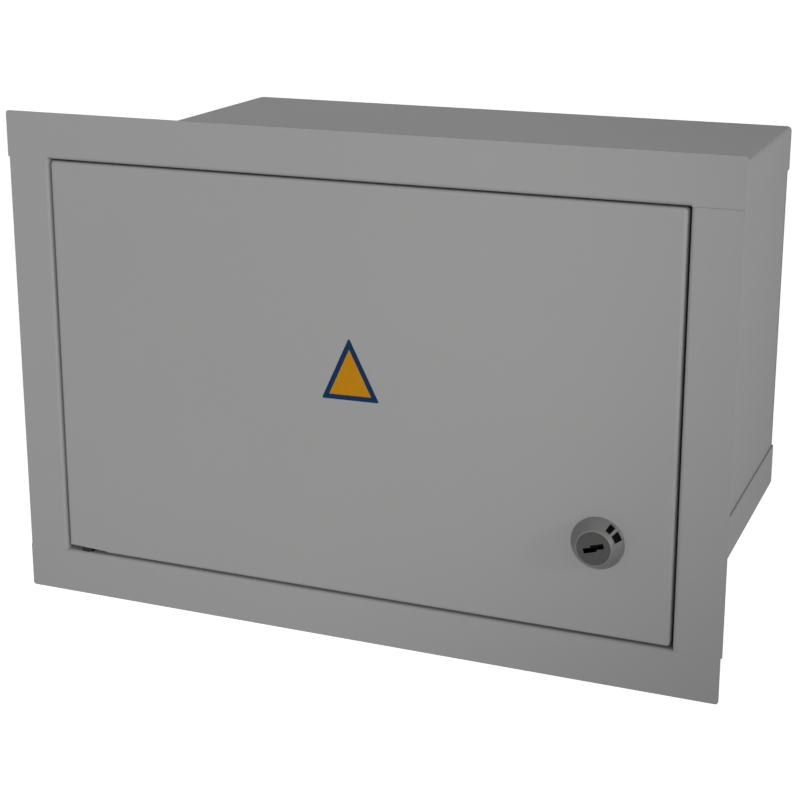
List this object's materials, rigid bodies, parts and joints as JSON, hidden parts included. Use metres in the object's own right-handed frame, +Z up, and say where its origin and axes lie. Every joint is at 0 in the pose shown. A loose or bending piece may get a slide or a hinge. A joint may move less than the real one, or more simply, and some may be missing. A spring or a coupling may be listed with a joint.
{
  "type": "flush-mount distribution board",
  "caption": "Grey folded-steel wall box with a flat front frame, a flush hinged door with a cam lock, and a rail, inner cover and terminal bars inside.",
  "frame": {"origin": "middle of the four wall fixing holes, on the back face of the box", "axes": "+X to the right as seen from the front, +Y towards the wall, +Z up"},
  "size_m": [0.4, 0.2682, 0.275],
  "materials": {
    "grey_paint": "satin",
    "lock_casting": "satin",
    "lock_face": "satin",
    "zinc_plate": "satin",
    "brass": "satin",
    "blue_plastic": "matte"
  },
  "bodies": {
    "enclosure": {"top_panel": "grey_paint", "bottom_panel": "grey_paint", "left_side_panel": "grey_paint", "right_side_panel": "grey_paint", "back_panel": "grey_paint", "hinge_pin_top": "zinc_plate", "hinge_pin_bottom": "zinc_plate", "hinge_spacer": "zinc_plate", "lock_keeper": "grey_paint", "cover_angle_left": "grey_paint", "cover_angle_right": "grey_paint", "inner_cover": "grey_paint", "cover_screws": "zinc_plate", "rail_post_left": "zinc_plate", "rail_post_right": "zinc_plate", "din_rail": "zinc_plate", "rail_screws": "zinc_plate", "neutral_bracket": "zinc_plate", "earth_bracket": "zinc_plate", "neutral_bar": "brass", "earth_bar": "brass", "neutral_support_left": "blue_plastic", "neutral_support_right": "blue_plastic", "neutral_terminal_screws": "zinc_plate", "earth_terminal_screws": "zinc_plate", "neutral_fixing_screws": "zinc_plate", "earth_fixing_screws": "zinc_plate", "earth_stud": "zinc_plate", "earth_washer": "zinc_plate", "earth_nut": "zinc_plate"},
    "door": {"door_panel": "grey_paint", "door_hinge_plate": "grey_paint", "lock_housing": "lock_casting", "lock_nut": "zinc_plate", "door_earth_stud": "zinc_plate", "door_earth_washer": "zinc_plate", "door_earth_nut": "zinc_plate"},
    "lock": {"lock_plug": "lock_face", "lock_cam": "zinc_plate", "cam_screw": "zinc_plate"}
  },
  "joints": [
    {"name": "door_hinge", "type": "hinge", "parent": "enclosure", "child": "door", "pos_m": [-0.1638, -0.255, 0], "axis": [0, 0, -1], "range_deg": [0, 110]},
    {"name": "lock_turn", "type": "hinge", "parent": "door", "child": "lock", "pos_m": [0.1353, -0.26, -0.061], "axis": [0, -1, 0], "range_deg": [0, 90]}
  ]
}
